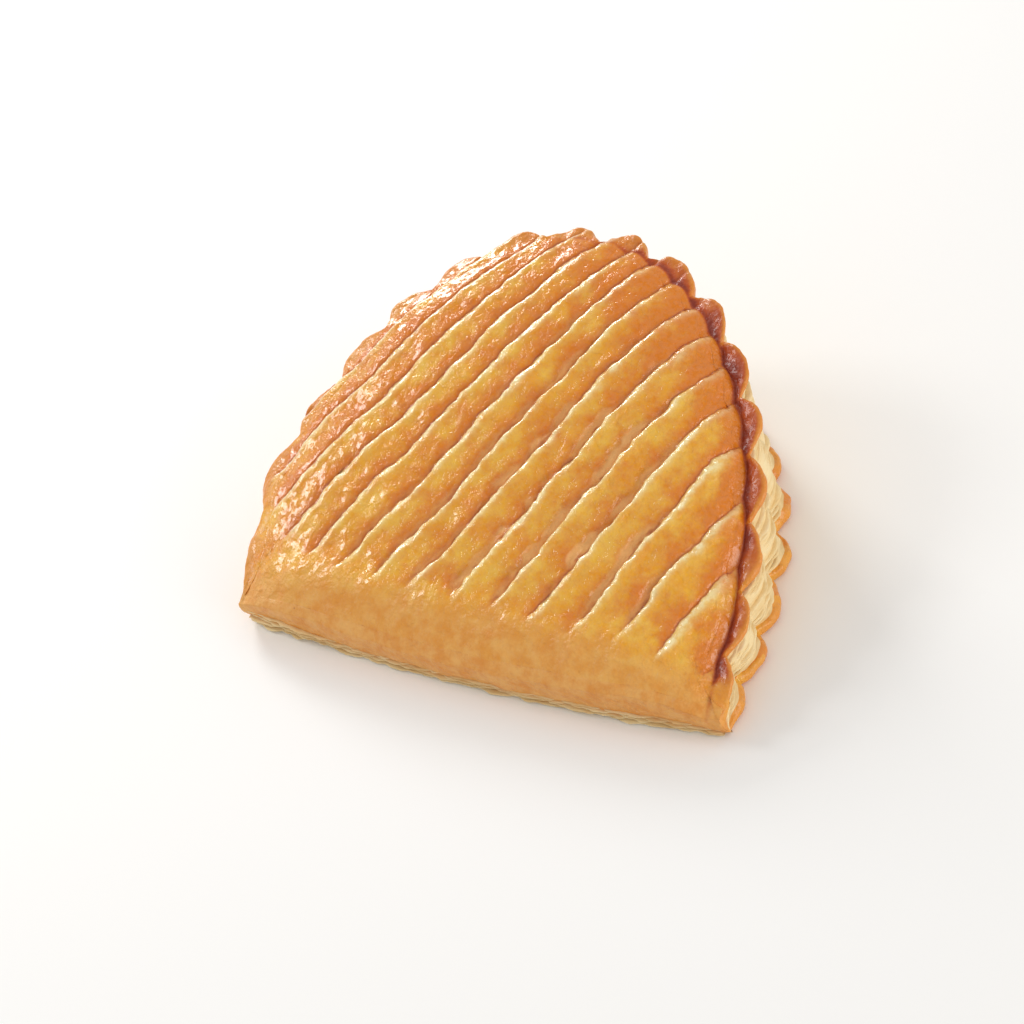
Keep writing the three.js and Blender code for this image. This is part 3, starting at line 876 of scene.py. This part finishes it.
def ribbon(name, values, x, y, marks):                      # a thin strip along a path, then its stack
    section = np.array(sheets["section"])
    share = np.clip((marks["high"] - marks["low"]) / sheets["fullHeight"], *sheets["thinning"])
    acrossX = x - marks["outX"] * section[:, :1]
    acrossY = y - marks["outY"] * section[:, :1]
    acrossZ = values["thickness"] * share * section[:, 1:]
    faces = gridFaces(len(x), len(section), closed=True).tolist()   # the loop closes round the section
    points = place(np.stack([acrossX.T, acrossY.T, acrossZ.T], -1).reshape(-1, 3))
    marks = {mark: np.repeat(value, len(section)) for mark, value in marks.items()}
    piece = meshPiece(name, points, faces, marks)
    growTree(piece, sheetStack, {
        "Layers": values["layers"], "Reach Out": values["reachOut"], "Lift": values["lift"],
        "Bulge": values["bulge"], "Patch Size": values["size"], "Seed": values["seed"],
        "Finish": flakyLayers})


def makeSideSheets():
    values = sheets["rim"]
    run = np.linspace(values["endGap"], archLength - values["endGap"], values["columns"])
    x, y, outX, outY = onArch(run)
    inset = ring["wallInset"] + ring["wallWave"] * scallop(run) - values["sunk"]
    high = rimHeight(y - outY * inset) - ring["lip"] - values["below"]
    ribbon("flakySheets", values, x - outX * inset, y - outY * inset, {
        "outX": outX, "outY": outY, "low": 0 * run + ring["lowerLip"], "high": high, "browned": 0 * run})


def makeFoldFlakes():
    values = sheets["fold"]
    x = np.linspace(arch["x"][-1] * values["width"], arch["x"][0] * values["width"], values["columns"])
    along = 2 * plan["foldBulge"] * x / plan["halfFold"] ** 2
    size = np.hypot(along, 1)
    left = ease(*values["leftEnd"], -x)                     # flakes stand out more near the left corner
    y = plan["foldTuck"] - values["ahead"] - values["leftAhead"] * left - foldBow(x)
    ribbon("foldFlakes", values, x, y, {
        "outX": along / size, "outY": -1 / size,
        "low": 0 * x + values["low"], "high": values["high"] + values["leftHigh"] * left,
        "browned": values["browned"] - values["leftBrowned"] * left})


sheetStack = sheetTree()
print("pastry: crust made,", makeCrust(), "faces")
makeRing()
print("pastry: rim, wall, fold and underside made")
makeSideSheets()
makeFoldFlakes()
print("pastry: loose sheets made")

parts = {"crust": "crust", "rimAndFold": "crust", "underside": "crust",
         "flakyWall": "layers", "flakySheets": "layers", "foldFlakes": "layers"}
for name, slotName in parts.items():
    piece = bpy.data.objects[name]
    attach(piece, "root")
    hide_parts("turnover")

# camera: where the photograph was taken from, against the pastry lying flat
view = {
    "azimuth": 44.5, "elevation": 42.4, "roll": -20.9, "target": (0.0, 45.0, 15.0),
    "focalPixels": 4500.0, "pixelsPerMm": 4.624, "centreX": 551.0, "centreY": 479.0, "image": 1024.0,
    "sensor": 36.0, "clipStart": 0.05,
}


def cameraAxes():
    azimuth = math.radians(view["azimuth"])
    elevation = math.radians(view["elevation"])
    roll = math.radians(view["roll"])
    back = Vector((math.sin(azimuth) * math.cos(elevation), -math.cos(azimuth) * math.cos(elevation),
                   math.sin(elevation)))
    level = Vector((math.cos(azimuth), math.sin(azimuth), 0))
    upright = back.cross(level)
    right = level * math.cos(roll) + upright * math.sin(roll)
    up = upright * math.cos(roll) - level * math.sin(roll)
    return right, up, back


def addCamera():
    right, up, back = cameraAxes()
    target = Vector(place(view["target"]))
    distance = view["focalPixels"] / view["pixelsPerMm"] * mm
    camera = bpy.data.objects.new("camera", bpy.data.cameras.new("camera"))
    bpy.context.scene.collection.objects.link(camera)
    turned = Matrix((right, up, back)).transposed().to_4x4()
    camera.matrix_world = Matrix.Translation(target + back * distance) @ turned
    camera.data.sensor_width = view["sensor"]
    camera.data.lens = view["focalPixels"] / view["image"] * view["sensor"]
    half = view["image"] / 2
    camera.data.shift_x = -(view["centreX"] - half) / view["image"]
    camera.data.shift_y = (view["centreY"] - half) / view["image"]
    camera.data.clip_start = view["clipStart"]
    bpy.context.scene.camera = camera


# light: a key from the left, a window behind it on the left for the glints, a broad fill, a pale room
lights = {
    "key": {"toward": (-0.86, 0.5, 0.04), "distance": 0.9, "size": 0.24, "power": 1.6},
    "window": {"toward": (-0.48, 0.78, -0.4), "distance": 0.9, "size": 0.26, "power": 3.3},
    "fill": {"toward": (0.8, -0.1, 0.6), "distance": 1.0, "size": 0.9, "power": 6.0},
}
room = {"colour": (1.0, 0.988, 0.97, 1.0), "strength": 0.66}


def addLights():
    right, up, back = cameraAxes()
    for name, lamp in lights.items():
        side, rise, front = lamp["toward"]
        toward = (right * side + up * rise + back * front).normalized()
        data = bpy.data.lights.new(name, "AREA")
        data.shape = "SQUARE"
        data.size = lamp["size"]
        data.energy = lamp["power"]
        light = bpy.data.objects.new(name, data)
        bpy.context.scene.collection.objects.link(light)
        light.matrix_world = (Matrix.Translation(toward * lamp["distance"])
                              @ toward.to_track_quat("Z", "Y").to_matrix().to_4x4())
    world = bpy.data.worlds.new("room")
    world.use_nodes = True
    background = world.node_tree.nodes["Background"]
    background.inputs[0].default_value = room["colour"]
    background.inputs[1].default_value = room["strength"]
    bpy.context.scene.world = world


ground = {"size": 6.0, "colour": (250, 249, 247), "roughness": 0.6}


def addFloor():
    half = ground["size"] / 2
    mesh = bpy.data.meshes.new("floor")
    corners = [(-half, -half), (half, -half), (half, half), (-half, half)]
    mesh.from_pydata([(x, y, cadLow.z) for x, y in corners], [], [(0, 1, 2, 3)])
    floor = bpy.data.objects.new("floor", mesh)
    bpy.context.scene.collection.objects.link(floor)
    finish, start = newFinish("paleFloor")
    endFinish(start, {"Base Color": paint(*ground["colour"]), "Roughness": ground["roughness"]})
    mesh.materials.append(finish)


addCamera()
addLights()
addFloor()
scene = bpy.context.scene
scene.view_settings.view_transform = "Standard"
scene.view_settings.look = "None"
print("pastry: camera, light and floor placed")
